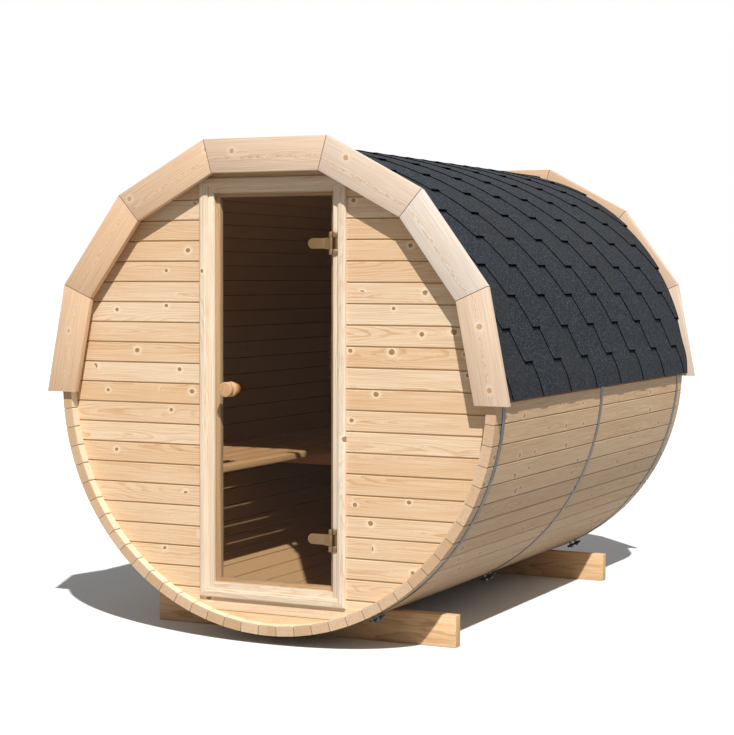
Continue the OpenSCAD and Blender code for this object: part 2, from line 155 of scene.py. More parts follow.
class Graph:
    """The node tree of one material, or of the world."""

    def __init__(self, name: str, world: bool = False) -> None:
        """Starts an empty tree with a Principled or a Background shader on its output.

        Args:
            name: the name of the material or the world.
            world: true for the world.
        """
        self.owner = (bpy.data.worlds if world else bpy.data.materials).new(name)
        self.owner.use_nodes = True
        self.tree = self.owner.node_tree
        self.tree.nodes.clear()
        self.output = self.add("ShaderNodeOutputWorld" if world else "ShaderNodeOutputMaterial")
        self.shader = self.node("ShaderNodeBackground" if world else "ShaderNodeBsdfPrincipled")
        self.show(self.shader)

    def show(self, shader: Value) -> None:
        """Puts a shader on the output."""
        self.feed(self.output.inputs["Surface"], shader)

    def add(self, kind: str, settings: dict[str, object] | None = None,
            sockets: dict[int | str, object] | None = None) -> bpy.types.Node:
        """Adds a node.

        Args:
            kind: the node's type.
            settings: its properties, or a ramp's stops, set before its sockets.
            sockets: a value or a link for each input socket.

        Returns:
            The node.
        """
        node = self.tree.nodes.new(kind)
        for key, setting in (settings or {}).items():
            if key == "stops":
                self._stops(node.color_ramp, setting)
            elif key == "steps":
                node.color_ramp.interpolation = setting
            else:
                setattr(node, key, setting)
        for key, given in (sockets or {}).items():
            self.feed(node.inputs[key], given)
        return node

    def node(self, kind: str, settings: dict[str, object] | None = None,
             sockets: dict[int | str, object] | None = None, output: int | str = 0) -> Value:
        """Adds a node, as add does, and gives one of its outputs."""
        return Value(self, self.add(kind, settings, sockets).outputs[output])

    def feed(self, socket: bpy.types.NodeSocket, given: object) -> None:
        """Links a value to a socket, or sets a plain number or colour on it.

        Args:
            socket: the input socket.
            given: a value to link, or a number or a colour.
        """
        if isinstance(given, Value):
            self.tree.links.new(given.socket, socket)
        elif socket.type == "RGBA" and len(given) == 3:
            socket.default_value = (*given, 1)
        else:
            socket.default_value = given

    @staticmethod
    def _stops(ramp: bpy.types.ColorRamp, stops: Sequence[tuple[float, Colour]]) -> None:
        """Sets a colour ramp's stops.

        Args:
            ramp: the colour ramp.
            stops: the place and the colour of each stop.
        """
        while len(ramp.elements) < len(stops):
            ramp.elements.new(0.5)
        for element, (place, colour) in zip(ramp.elements, stops):
            element.position = place
            element.color = (*colour, 1)

    def set(self, **sockets: object) -> None:
        """Sets the shader's sockets, named with underscores for spaces."""
        for key, given in sockets.items():
            self.feed(self.shader.socket.node.inputs[key.replace("_", " ")], given)

    def spot(self) -> Value:
        """The point on the surface, in the part's frame."""
        return self.node("ShaderNodeTexCoord", output="Object")

    def place(self) -> tuple[Value, Value, Value]:
        """The three parts of the point on the surface."""
        return self.split(self.spot())

    def seen(self) -> Value:
        """Tells what the camera sees, also in a mirror or through glass, from light that bounces.

        Returns:
            1 for what is seen and 0 for light that bounces.
        """
        path = self.node("ShaderNodeLightPath", output="Is Camera Ray")
        mirrored, through = path.other("Is Glossy Ray"), path.other("Is Transmission Ray")
        return path.maths("MAXIMUM", mirrored).maths("MAXIMUM", through)

    def split(self, vector: Value) -> tuple[Value, Value, Value]:
        """The three parts of a vector."""
        parts = self.node("ShaderNodeSeparateXYZ", None, {0: vector})
        return parts, parts.other("Y"), parts.other("Z")

    def vector(self, x: Number, y: Number, z: Number) -> Value:
        """A vector from three numbers."""
        return self.node("ShaderNodeCombineXYZ", None, {0: x, 1: y, 2: z})

    def noise(self, vector: Value, detail: float = 2.0, rough: float = 0.5, scale: float = 1.0) -> Value:
        """Smooth noise."""
        return self.node("ShaderNodeTexNoise", None,
                         {"Vector": vector, "Scale": scale, "Detail": detail, "Roughness": rough})

    def mix(self, share: Number, first: object, second: object, blend: str = "MIX") -> Value:
        """Mixes two colours by a share of the second."""
        return self.node("ShaderNodeMix", {"data_type": "RGBA", "blend_type": blend},
                         {0: share, 6: first, 7: second}, output=2)

    def bump(self, height: Value, strength: float, depth: float) -> None:
        """Raises the surface by a height, through the shader's normal."""
        self.set(Normal=self.node("ShaderNodeBump", None,
                                  {"Height": height, "Strength": strength, "Distance": depth}))


class Finish:
    """A procedural finish, which each kind paints in its own way."""

    name: str

    def paint(self, graph: Graph) -> None:
        """Sets the shader's colour, gloss and relief."""
        raise NotImplementedError

    def material(self) -> Material:
        """Builds the finish.

        Returns:
            The material.
        """
        graph = Graph(self.name)
        self.paint(graph)
        return graph.owner


@dataclass(frozen=True)
class BoardPoint:
    """A point in a board's own frame: along and across its face, through its depth, and which board."""

    along: Value
    across: Value
    depth: Value
    board: Value


@dataclass(frozen=True)
class PlanedWood(Finish):
    """Planed spruce boards: growth rings that arch along the face, knots, and a tone for each board."""

    name: str
    pale: Colour = (0.84, 0.68, 0.49)
    warm: Colour = (0.75, 0.53, 0.32)
    ring: Colour = (0.60, 0.34, 0.15)
    knot: Colour = (0.20, 0.085, 0.028)
    heart: Colour = (0.34, 0.172, 0.055)
    halo: Colour = (0.90, 0.77, 0.58)
    fleck: Colour = (0.60, 0.30, 0.11)
    joint_and_shadow: Colour = (0.11, 0.060, 0.028)
    end: Colour = (0.70, 0.44, 0.23)
    seed: float = 0.0
    ring_pitch: float = 0.0058
    ring_share: float = 0.75
    knot_step: float = 0.27
    knot_lane: float = 0.075
    knot_r: Pair = (0.0085, 0.0145)
    knot_share: float = 0.57
    half_width: float = 0.0425
    joint_width: float = 0.0
    end_at: float = 10.0
    rough: float = 0.55
    flecks: float = 0.25
    spread: float = 0.10

    def lay(self, graph: Graph) -> BoardPoint:
        """How the boards lie: this one has boards that run along Y, side by side along X.

        Args:
            graph: the material's nodes.

        Returns:
            The point in its board's frame.
        """
        x, y, z = graph.place()
        board = (x / (2 * self.half_width)).maths("FLOOR")
        return BoardPoint(y, x - (board + 0.5) * (2 * self.half_width), z, board)

    def tone(self, graph: Graph, point: BoardPoint, chance: Value) -> Value:
        """How warm a board is, from 0 to 1."""
        drift = graph.noise(graph.vector(point.along * 1.1, point.across * 5, point.board * 3.1 + self.seed))
        return (chance * 0.8 + drift * 0.9 - 0.35).smooth(0.0, 1.0)

    def weather(self, graph: Graph, point: BoardPoint, colour: Value) -> Value:
        """What the place of a board does to its colour: nothing here."""
        return colour

    def grain(self, point: BoardPoint, along: float, across: float, number: float = 1.0,
              detail: float = 2.0) -> Value:
        """Noise drawn out along and across a board, with another pattern on each board."""
        graph, board = point.board.graph, (point.board + self.seed) * number
        return graph.noise(graph.vector(point.along * along, point.across * across, board), detail)

    def knots(self, graph: Graph, point: BoardPoint) -> tuple[Value, Value, Value]:
        """Scatters knots over the boards, one to a cell at most and none at a board's edge.

        Args:
            graph: the material's nodes.
            point: the point on its board.

        Returns:
            The distance from the nearest knot in its radii, 1 if that knot is there, and how far it bends
            the rings.
        """
        spot = graph.vector(point.along / self.knot_step, point.across / self.knot_lane,
                            (point.board + self.seed) * 7.31)
        cell = graph.node("ShaderNodeTexVoronoi", None, {"Vector": spot, "Scale": 1.0}, output="Position")
        knot_along, knot_across, _ = graph.split(cell)
        size, rarity, _ = graph.split(cell.other("Color"))
        from_along = point.along - knot_along * self.knot_step
        from_across = point.across - knot_across * self.knot_lane
        at_edge = abs(knot_across * self.knot_lane).smooth(self.half_width * 0.68, self.half_width * 0.70)
        missing = rarity.smooth(self.knot_share - 0.01, self.knot_share + 0.01).maths("MAXIMUM", at_edge)
        small, large = self.knot_r
        radius = (size * (large - small) + small - missing * 0.03).maths("MAXIMUM", 0.0003)
        wobble = self.grain(point, 60, 60) - 0.5
        square = from_along * from_along + from_across * from_across * 1.3
        reach = square.maths("SQRT") / radius + wobble * 0.5
        flow = from_across * (1 / (reach * reach * 0.35 + 1.0)) * 0.8
        return reach, radius.smooth(0.001, 0.003), flow

    def late_wood(self, point: BoardPoint, across: Value, sink: Value, turn: Value) -> Value:
        """The growth rings that a board is sawn through.

        Args:
            point: the point on its board.
            across: its place across the board, bent round the knots.
            sink: how deep the heart of the tree lies, by chance.
            turn: how far the board leans from the tree, by chance.

        Returns:
            0 in the pale wood of a ring and 1 in the dark wood at its end.
        """
        wander = self.grain(point, 1.6, 9, 2.3, 3.0) - 0.5
        ripple = self.grain(point, 9, 45, 1.7) - 0.5
        depth = point.depth + sink * 0.05 + 0.004 - point.along * (turn - 0.5) * 0.12 + wander * 0.05
        radius = (across * across + depth * depth).maths("SQRT") + ripple * 0.004
        phase = (radius / self.ring_pitch).maths("FRACT")
        return phase.smooth(0.45, 0.90) * (1 - phase.smooth(0.92, 1.0))

    def paint(self, graph: Graph) -> None:
        """Lays rings and streaks, then knots, then what a board's place, ends and joints add.

        Args:
            graph: the material's nodes.
        """
        point = self.lay(graph)
        board = point.board + self.seed
        chance = graph.node("ShaderNodeTexWhiteNoise", {"noise_dimensions": "1D"}, {"W": board},
                            output="Color")
        lean, sink, turn = graph.split(chance)
        reach, shown, flow = self.knots(graph, point)
        across = point.across - flow - (lean - 0.5) * self.spread
        late = self.late_wood(point, across, sink, turn)
        strength = self.grain(point, 2.3, 14, 5.7).smooth(0.32, 0.72)
        streak = graph.noise(graph.vector(point.along * 3.5, point.across * 170, point.depth * 170), 3.0, 0.6)

        colour = graph.mix(self.tone(graph, point, lean), self.pale, self.warm)
        colour = graph.mix(late * (strength * 0.75 + 0.25) * self.ring_share, colour, self.ring)
        colour = graph.mix(streak - 0.30, colour, graph.mix(1.0, colour, self.ring, "MULTIPLY"))
        band = 1 - abs(across).smooth(0.002, 0.009)
        fleck = graph.noise(graph.vector(point.along * 55, across * 260, board), 1.0).smooth(0.50, 0.60)
        colour = graph.mix(band * self.flecks * 0.2, colour, self.pale)
        colour = graph.mix(band * fleck * self.flecks, colour, self.fleck)

        halo = (1 - reach.smooth(1.0, 2.7)) * shown
        core = (1 - reach.smooth(0.78, 1.02)) * shown
        rim = reach.smooth(0.45, 0.90) * core
        blot = self.grain(point, 190, 190).smooth(0.48, 0.60)
        inner = graph.mix(rim.maths("MAXIMUM", blot) * 0.6, self.heart, self.knot)
        colour = graph.mix(halo * 0.45, colour, self.halo)
        colour = graph.mix(core * 0.93, colour, inner)

        colour = self.weather(graph, point, colour)
        edge = abs(point.along).smooth(self.end_at - 0.0006, self.end_at - 0.0003)
        cloud = graph.noise(graph.vector(point.across * 90, point.depth * 90, board * 1.3), 3.0)
        patch = cloud.smooth(0.45, 0.65)
        sawn = graph.mix(late * 0.4 + patch * 0.3, graph.mix(turn * 0.7, self.end, self.ring), self.ring)
        colour = graph.mix(edge * 0.85, colour, sawn)
        if self.joint_width:
            seam = abs(point.across).smooth(self.half_width - self.joint_width,
                                            self.half_width - self.joint_width / 3)
            colour = graph.mix(seam * 0.85, colour, self.joint_and_shadow)
        graph.set(Base_Color=colour, Roughness=streak * 0.16 + late * -0.06 + self.rough,
                  Specular_IOR_Level=0.35)
        graph.bump(late * 0.5 + streak * 0.5 + core * 0.8, 0.28, 0.0007)


@dataclass(frozen=True)
class StaveWood(PlanedWood):
    """Staves that stand round the barrel's axis and run along Y."""

    half_width: float = BARREL_R * STAVE_STEP / 2
    fresh: Colour = (0.77, 0.61, 0.42)
    recess: Colour = (0.85, 0.74, 0.55)
    inner_face: Pair = (-0.040, -0.030)
    wall_at: Pair = (1.195, 1.205)

    def lay(self, graph: Graph) -> BoardPoint:
        """Turns the point about the barrel's axis into its stave's frame.

        Args:
            graph: the material's nodes.

        Returns:
            The point in its board's frame.
        """
        x, y, z = graph.place()
        up = z - AXIS_Z
        turn = x.maths("ARCTAN2", up) / STAVE_STEP
        board = turn.maths("FLOOR")
        reach = (x * x + up * up).maths("SQRT") - BARREL_R
        return BoardPoint(y, (turn - board - 0.5) * (2 * self.half_width), reach, board)

    def weather(self, graph: Graph, point: BoardPoint, colour: Value) -> Value:
        """The inside of the barrel is fresher than the outside, and palest in front of the end walls.

        Args:
            graph: the material's nodes.
            point: the point on its board.
            colour: the colour so far.

        Returns:
            The colour with what the place adds.
        """
        fresh = 1 - point.depth.smooth(*self.inner_face)
        bare = graph.mix(abs(point.along).smooth(*self.wall_at), self.fresh, self.recess)
        return graph.mix(fresh * 0.7, colour, bare)


@dataclass(frozen=True)
class WallWood(PlanedWood):
    """Level boards that run along X, one above another."""

    half_width: float = BOARD_PITCH / 2
    # Painted shadow: the dark that the board above casts on the top edge of the board below.
    joint_and_shadow: Colour = (0.20, 0.115, 0.045)
    # Painted warm shade on the bottom edge of each board, which faces down.
    under: Colour = (0.66, 0.44, 0.22)
    rear_number: int = 40

    def lay(self, graph: Graph) -> BoardPoint:
        """Counts boards up the wall, with other numbers on the rear wall.

        Args:
            graph: the material's nodes.

        Returns:
            The point in its board's frame.
        """
        x, y, z = graph.place()
        up = (z - (AXIS_Z + BOARD_PHASE)) / BOARD_PITCH
        board = up.maths("FLOOR")
        return BoardPoint(x, (up - board - 0.5) * BOARD_PITCH, y - WALL_FACE_Y,
                          board + y.maths("SIGN") * self.rear_number)

    def weather(self, graph: Graph, point: BoardPoint, colour: Value) -> Value:
        """At a V joint the top edge of a board is painted dark as the shadow of the board above, and the
        bottom edge, which faces down, is painted a warm shade.

        Args:
            graph: the material's nodes.
            point: the point on its board.
            colour: the colour so far.

        Returns:
            The colour with what the place adds.
        """
        # Painted shadow on each board's top edge, and painted warm shade on its bottom edge.
        top = point.across.smooth(self.half_width - 0.0030, self.half_width - 0.0022)
        bottom = 1 - point.across.smooth(0.0036 - self.half_width, 0.0046 - self.half_width)
        return graph.mix(top * 0.9, graph.mix(bottom * 0.6, colour, self.under), self.joint_and_shadow)


@dataclass(frozen=True)
class ArchWood(PlanedWood):
    """Fascia boards that lie side by side round the arch."""

    half_width: float = 0.0725
    tones: tuple[float, ...] = (0.95, 1.0, 0.95, 0.75, 0.45, 0.06, 0.55)
    rear_number: int = 20

    def lay(self, graph: Graph) -> BoardPoint:
        """Turns the point to the level of the top board.

        Args:
            graph: the material's nodes.

        Returns:
            The point in its board's frame.
        """
        x, y, z = graph.place()
        up, side, end = z - AXIS_Z, x.maths("SIGN"), y.maths("SIGN")
        turn = (abs(x.maths("ARCTAN2", up)) - FASCIA_TOP) / FASCIA_STEP
        step = turn.maths("FLOOR").maths("MAXIMUM", -1.0)
        top = step.maths("LESS_THAN", -0.5)
        middle = (step * FASCIA_STEP + (FASCIA_TOP + FASCIA_STEP / 2)) * side * (1 - top)
        cosine, sine = middle.maths("COSINE"), middle.maths("SINE")
        return BoardPoint(x * cosine - up * sine, x * sine + up * cosine - FASCIA_MIDDLE_R,
                          y - end * FASCIA_FACE_Y, (step + 1) * side + end * self.rear_number)

    def weather(self, graph: Graph, point: BoardPoint, colour: Value) -> Value:
        """The mitres show as dark lines.

        Args:
            graph: the material's nodes.
            point: the point on its board.
            colour: the colour so far.

        Returns:
            The colour with what the place adds.
        """
        x, _, z = graph.place()
        turn = (abs(x.maths("ARCTAN2", z - AXIS_Z)) - FASCIA_TOP) / FASCIA_STEP
        away = abs(turn - (turn + 0.5).maths("FLOOR")) * (FASCIA_STEP * BARREL_R)
        seam = (1 - away.smooth(0.0010, 0.0022)) * (1 - turn.smooth(2.4, 2.6)) * turn.smooth(-0.5, -0.3)
        return graph.mix(seam * 0.7, colour, self.joint_and_shadow)

    def tone(self, graph: Graph, point: BoardPoint, chance: Value) -> Value:
        """Each board of the arch has a tone of its own, from pale sapwood to warm heartwood.

        Args:
            graph: the material's nodes.
            point: the point on its board.
            chance: the board's own number by chance.

        Returns:
            The tone, from 0 to 1.
        """
        count = len(self.tones)
        stops = [(number / count, (tone, tone, tone)) for number, tone in enumerate(self.tones)]
        number = (point.board + self.rear_number + count / 2) / count
        ramp = graph.node("ShaderNodeValToRGB", {"stops": stops, "steps": "CONSTANT"},
                          {0: number.maths("FRACT")})
        return graph.split(ramp)[0] + super().tone(graph, point, chance) * 0.24 - 0.12


@dataclass(frozen=True)
class UprightWood(PlanedWood):
    """Boards that stand upright, numbered by the side of the door that they stand on."""

    def lay(self, graph: Graph) -> BoardPoint:
        """Runs along Z."""
        x, y, z = graph.place()
        return BoardPoint(z, abs(x) - DOOR_FRAME_X, y - WALL_FACE_Y, x.maths("SIGN") * 3)


@dataclass(frozen=True)
class LevelWood(PlanedWood):
    """Boards that run along X, numbered by their height and their place along the barrel."""

    rise: float = 0.5

    def lay(self, graph: Graph) -> BoardPoint:
        """Runs along X.

        Args:
            graph: the material's nodes.

        Returns:
            The point in its board's frame.
        """
        x, y, z = graph.place()
        level = (z / self.rise).maths("FLOOR")
        return BoardPoint(x, z - level * self.rise - self.half_width, y, level + y.maths("SIGN") * 5)


@dataclass(frozen=True)
class TurnedWood(PlanedWood):
    """A knob turned on a lathe, with its grain along Y."""

    def lay(self, graph: Graph) -> BoardPoint:
        """Measures from the knob's axis."""
        x, y, z = graph.place()
        return BoardPoint(y, x - KNOB_X, z - AXIS_Z, y.maths("SIGN"))


@dataclass(frozen=True)
class Shingle(Finish):
    """Bitumen shingle under slate granules, each tab a little lighter or darker."""

    name: str = "slate_granules"
    slate: Colour = (0.0195, 0.0245, 0.0315)
    dark: Colour = (0.0095, 0.0120, 0.0160)
    pale: Colour = (0.075, 0.086, 0.100)
    worn: Colour = (0.0240, 0.0225, 0.0220)
    granules: float = 250.0
    clouds: float = 150.0

    def paint(self, graph: Graph) -> None:
        """Scatters pale and dark granules over a cloudy slate.

        Args:
            graph: the material's nodes.
        """
        spot = graph.spot()
        grain = graph.node("ShaderNodeTexVoronoi", None, {"Vector": spot, "Scale": self.granules})
        chip = graph.split(grain.other("Color"))[0]
        cloud = graph.noise(spot, 3.0, scale=self.clouds)
        tab = graph.node("ShaderNodeAttribute", {"attribute_name": Roof.TONE}, output="Fac")
        colour = graph.mix((cloud - 0.5) * 3.0 + 0.50, self.dark, self.slate)
        colour = graph.mix(chip.smooth(0.72, 0.96) * 0.8, colour, self.pale)
        colour = graph.mix(chip.smooth(0.30, 0.05) * 0.7, colour, self.dark)
        colour = graph.mix(tab * 0.55, colour, self.worn)
        graph.set(Base_Color=colour, Roughness=0.86 - chip * 0.12, Specular_IOR_Level=0.12)
        graph.bump(grain * -1.0 + cloud * 0.3, 0.55, 0.0012)


@dataclass(frozen=True)
class CutEdgeAndShadow(Finish):
    """The black bitumen that shows where a shingle is cut, also laid as painted shadow along each tab's lower
    edge.
    """

    name: str = "cut_bitumen_and_shadow"
    colour: Colour = (0.0015, 0.0015, 0.0016)
    speck: Colour = (0.004, 0.004, 0.0045)

    def paint(self, graph: Graph) -> None:
        """Specks a dull black.

        Args:
            graph: the material's nodes.
        """
        speck = graph.noise(graph.spot(), scale=400.0)
        graph.set(Base_Color=graph.mix(speck * 0.6, self.colour, self.speck), Roughness=speck * 0.2 + 0.7,
                  Specular_IOR_Level=0.0)


@dataclass(frozen=True)
class Metal(Finish):
    """Rolled or brushed metal with fine scratches and a cloudy gloss."""

    name: str
    colour: Colour
    dull: Colour
    rough: float
    scratch: Point = (30.0, 600.0, 30.0)

    def paint(self, graph: Graph) -> None:
        """Draws scratches along one axis, over clouds of duller metal.

        Args:
            graph: the material's nodes.
        """
        x, y, z = (axis * scale for axis, scale in zip(graph.place(), self.scratch))
        line = graph.noise(graph.vector(x, y, z), 3.0, 0.65)
        cloud = graph.noise(graph.spot(), 3.0, scale=22.0)
        graph.set(Base_Color=graph.mix(cloud.smooth(0.35, 0.75) * 0.7, self.colour, self.dull), Metallic=1.0,
                  Roughness=line * 0.22 + cloud * 0.12 + self.rough)
        graph.bump(line, 0.12, 0.0003)


@dataclass(frozen=True)
class BronzeGlass(Finish):
    """Tinted glass that lets light through and mirrors more at a low angle."""

    name: str = "bronze_glass"
    tint: Colour = (0.870, 0.820, 0.755)
    silver: Colour = (0.95, 0.95, 0.95)
    mirror: float = 0.0045

    def paint(self, graph: Graph) -> None:
        """Mixes a smeared mirror into a clear tint.

        Args:
            graph: the material's nodes.
        """
        x, y, z = graph.place()
        smear = graph.noise(graph.vector(x * 9, y, z * 5), 3.0)
        graph.set(Base_Color=self.silver, Metallic=1.0, Roughness=smear * 0.03 + 0.01)
        clear = graph.node("ShaderNodeBsdfTransparent", None, {"Color": self.tint})
        slant = graph.node("ShaderNodeLayerWeight", None, {"Blend": 0.5}, output="Facing").maths("POWER", 5.0)
        share = slant * (1 - self.mirror) + self.mirror
        graph.show(graph.node("ShaderNodeMixShader", None, {0: share, 1: clear, 2: graph.shader}))


class Workshop:
    """Steps of modelling by hand, each on one mesh object."""

    @staticmethod
    def only(obj: Piece) -> None:
        """Selects one object and makes it active.

        Args:
            obj: the object.
        """
        bpy.ops.object.select_all(action="DESELECT")
        obj.select_set(True)
        bpy.context.view_layer.objects.active = obj

    @staticmethod
    @contextmanager
    def editing(obj: Piece) -> Iterator[None]:
        """Goes into edit mode on one object, with all of it selected, and comes back out.

        Args:
            obj: the object.

        Returns:
            A context that is in edit mode.
        """
        Workshop.only(obj)
        bpy.ops.object.mode_set(mode="EDIT")
        bpy.ops.mesh.select_mode(type="VERT")
        bpy.ops.mesh.select_all(action="SELECT")
        yield
        bpy.ops.object.mode_set(mode="OBJECT")

    @staticmethod
    def pick(obj: Piece, kind: str, test: Callable[[object], bool]) -> None:
        """Selects, in edit mode, the faces, edges or verts that pass a test.

        Args:
            obj: the object in edit mode.
            kind: FACE, EDGE or VERT.
            test: says yes to what is selected.
        """
        bpy.ops.mesh.select_mode(type=kind)
        bpy.ops.mesh.select_all(action="DESELECT")
        mesh = bmesh.from_edit_mesh(obj.data)
        for part in {"FACE": mesh.faces, "EDGE": mesh.edges, "VERT": mesh.verts}[kind]:
            part.select = test(part)
        mesh.select_flush_mode()
        bmesh.update_edit_mesh(obj.data)

    @staticmethod
    def label(obj: Piece, name: str) -> Piece:
        """Names an object and its mesh."""
        obj.name = obj.data.name = name
        return obj

    @staticmethod
    def settle(obj: Piece) -> Piece:
        """Puts an object's place, turn and scale into its mesh.

        Args:
            obj: the object.

        Returns:
            The same object.
        """
        Workshop.only(obj)
        bpy.ops.object.transform_apply(location=True, rotation=True, scale=True)
        return obj

    @staticmethod
    def named(name: str) -> Piece:
        """Names the primitive that was just added and settles it."""
        return Workshop.settle(Workshop.label(bpy.context.active_object, name))

    @staticmethod
    def block(name: str, low: Sequence[float], high: Sequence[float]) -> Piece:
        """A block between two corners, to be shaped further.

        Args:
            name: its name.
            low: its lowest corner.
            high: its highest corner.

        Returns:
            The block.
        """
        bpy.ops.object.select_all(action="DESELECT")
        low, high = Vector(low), Vector(high)
        bpy.ops.mesh.primitive_cube_add(size=1, location=(low + high) / 2, scale=high - low)
        return Workshop.named(name)

    @staticmethod
    def rod(name: str, radius: float, start: Sequence[float], end: Sequence[float], sides: int) -> Piece:
        """A round bar from one point to another, to be shaped further.

        Args:
            name: its name.
            radius: its radius.
            start: the middle of one end.
            end: the middle of the other end.
            sides: how many flat sides stand for the round.

        Returns:
            The bar.
        """
        bpy.ops.object.select_all(action="DESELECT")
        start, end = Vector(start), Vector(end)
        turn = (end - start).to_track_quat("Z", "Y").to_euler()
        bpy.ops.mesh.primitive_cylinder_add(vertices=sides, radius=radius, depth=(end - start).length,
                                            location=(start + end) / 2, rotation=turn)
        return Workshop.named(name)

    @staticmethod
    def sheet(name: str, width: float, height: float) -> Piece:
        """A flat sheet that stands on the middle of the X axis and reaches along Y, to be shaped further.

        Args:
            name: its name.
            width: its size along X.
            height: its size along Y.

        Returns:
            The sheet.
        """
        bpy.ops.object.select_all(action="DESELECT")
        bpy.ops.mesh.primitive_plane_add(size=1, location=(0, height / 2, 0))
        bpy.context.active_object.scale = (width, height, 1)
        return Workshop.named(name)

    @staticmethod
    def cut(place: Sequence[float], normal: Sequence[float], clear: bool = False, fill: bool = True) -> None:
        """Cuts what is selected along a plane.

        Args:
            place: a point of the plane.
            normal: where the plane looks to.
            clear: takes away the side that the plane looks to.
            fill: closes what was cleared.
        """
        bpy.ops.mesh.bisect(plane_co=place, plane_no=normal, use_fill=clear and fill, clear_outer=clear)
        bpy.ops.mesh.select_all(action="SELECT")

    @staticmethod
    def score(levels: Iterable[float]) -> None:
        """Cuts what is selected at levels along Y."""
        for level in levels:
            Workshop.cut((0, level, 0), (0, 1, 0))

    @staticmethod
    def pull(x: float, y: float, z: float) -> None:
        """Draws what is selected out by a distance, with new faces at its sides."""
        bpy.ops.mesh.extrude_region_move(TRANSFORM_OT_translate={"value": (x, y, z)})

    @staticmethod
    def round_edges(width: float, segments: int) -> None:
        """Rounds the selected edges."""
        bpy.ops.mesh.bevel(offset=width, segments=segments, profile=0.5, affect="EDGES")

    @staticmethod
    def smooth(obj: Piece, angle: float) -> None:
        """Shades an object smooth where its faces meet at less than an angle in degrees."""
        Workshop.only(obj)
        bpy.ops.object.shade_smooth_by_angle(angle=math.radians(angle))

    @staticmethod
    def ease(obj: Piece, width: float, segments: int = 2, angle: float = 30.0) -> Piece:
        """Takes the sharpness off all of an object's edges.

        Args:
            obj: the object.
            width: the width of the bevel.
            segments: the steps of the bevel.
            angle: how sharp an edge has to be, in degrees.

        Returns:
            The same object.
        """
        Workshop.only(obj)
        bevel = obj.modifiers.new("ease", "BEVEL")
        bevel.width, bevel.segments = width, segments
        bevel.limit_method, bevel.angle_limit = "ANGLE", math.radians(angle)
        bevel.use_clamp_overlap = True
        bpy.ops.object.modifier_apply(modifier=bevel.name)
        Workshop.smooth(obj, 40)
        return obj

    @staticmethod
    def outward(obj: Piece) -> None:
        """Merges doubles and turns all faces outwards.

        Args:
            obj: the object.
        """
        with Workshop.editing(obj):
            bpy.ops.mesh.remove_doubles(threshold=MERGE)
            bpy.ops.mesh.normals_make_consistent(inside=False)

    @staticmethod
    def copy(obj: Piece, name: str) -> Piece:
        """A copy with a mesh of its own.

        Args:
            obj: the object to copy.
            name: the copy's name.

        Returns:
            The copy.
        """
        Workshop.only(obj)
        bpy.ops.object.duplicate(linked=False)
        return Workshop.label(bpy.context.active_object, name)

    @staticmethod
    def join(name: str, *pieces: Piece) -> Piece:
        """Joins objects into the first, under a new name.

        Args:
            name: the name of the whole.
            pieces: the objects.

        Returns:
            The whole.
        """
        Workshop.only(pieces[0])
        for obj in pieces:
            obj.select_set(True)
        bpy.ops.object.join()
        return Workshop.label(pieces[0], name)

    @staticmethod
    def planed(node: str, name: str, ease: float) -> Piece:
        """A copy of a CAD node with its flat faces whole and its edges eased.

        Args:
            node: the CAD node.
            name: the new piece's name.
            ease: how far the edges are taken off.

        Returns:
            The new piece.
        """
        made = Workshop.copy(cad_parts[node], name)
        made.parent = None
        made.matrix_world = Matrix.Identity(4)
        for key in list(made.keys()):
            del made[key]
        with Workshop.editing(made):
            bpy.ops.mesh.remove_doubles(threshold=2 * MERGE)
            bpy.ops.mesh.dissolve_limited(angle_limit=FLAT)
            bpy.ops.mesh.customdata_custom_splitnormals_clear()
        return Workshop.ease(made, ease)


def dress(obj: Piece, *finishes: Material) -> None:
    """Gives an object its materials in place of those it has.

    Args:
        obj: the object.
        finishes: its new materials.
    """
    obj.data.materials.clear()
    for finish in finishes:
        obj.data.materials.append(finish)


def dress_nodes(nodes: Sequence[str], finish: Material) -> None:
    """Gives CAD nodes a finish."""
    for node in nodes:
        dress(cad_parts[node], finish)


def hand_over(obj: Piece, body: Body, slot: Slot, node: str, *finishes: Material) -> None:
    """Dresses a piece, ties it to the frame and reports it.

    Args:
        obj: the piece.
        body: what it rides on.
        slot: the record's slot for its finish; not used.
        node: the CAD node that it stands for.
        finishes: its materials, or none if it has them already.
    """
    if finishes:
        dress(obj, *finishes)
    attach(obj, body.value)
    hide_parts(node)
    LOG.info("%s: %d faces, on %s", obj.name, len(obj.data.polygons), body.value)


def plane_nodes(names: dict[str, str], ease: float, slot: Slot, finish: Material) -> None:
    """Puts planed copies in the place of CAD nodes of the cabin.

    Args:
        names: each node with the name of its copy.
        ease: how far the edges are taken off.
        slot: the record's slot for the finish.
        finish: the material of the copies.
    """
    for node, name in names.items():
        hand_over(Workshop.planed(node, name, ease), Body.CABIN, slot, node, finish)


@dataclass
class Shell:
    """The barrel of staves and its steel hoops."""

    staves: Sequence[str] = ("staves_bottom", "staves_lower_right", "staves_upper_right", "staves_upper_left",
                             "staves_lower_left")
    hoops: Sequence[str] = ("hoop_front", "hoop_middle", "hoop_rear")

    def build(self) -> None:
        """Dresses the staves and the hoops."""
        wood = StaveWood("stave_spruce", pale=(0.66, 0.49, 0.31), warm=(0.58, 0.39, 0.22),
                         ring=(0.46, 0.28, 0.135), halo=(0.68, 0.51, 0.33), end=(0.68, 0.485, 0.335),
                         joint_width=0.0022, end_at=HALF_LENGTH, seed=11.0)
        steel = Metal("hoop_zinc", (0.100, 0.102, 0.102), (0.062, 0.064, 0.066), 0.26)
        dress_nodes(self.staves, wood.material())
        dress_nodes(self.hoops, steel.material())


@dataclass
class EndWalls:
    """The boarded walls at the two ends."""

    nodes: Sequence[str] = ("front_wall_left", "front_wall_right", "front_wall_top", "front_wall_bottom",
                            "rear_wall")

    def build(self) -> None:
        """Dresses the walls."""
        dress_nodes(self.nodes, WallWood("wall_spruce", seed=3.0).material())


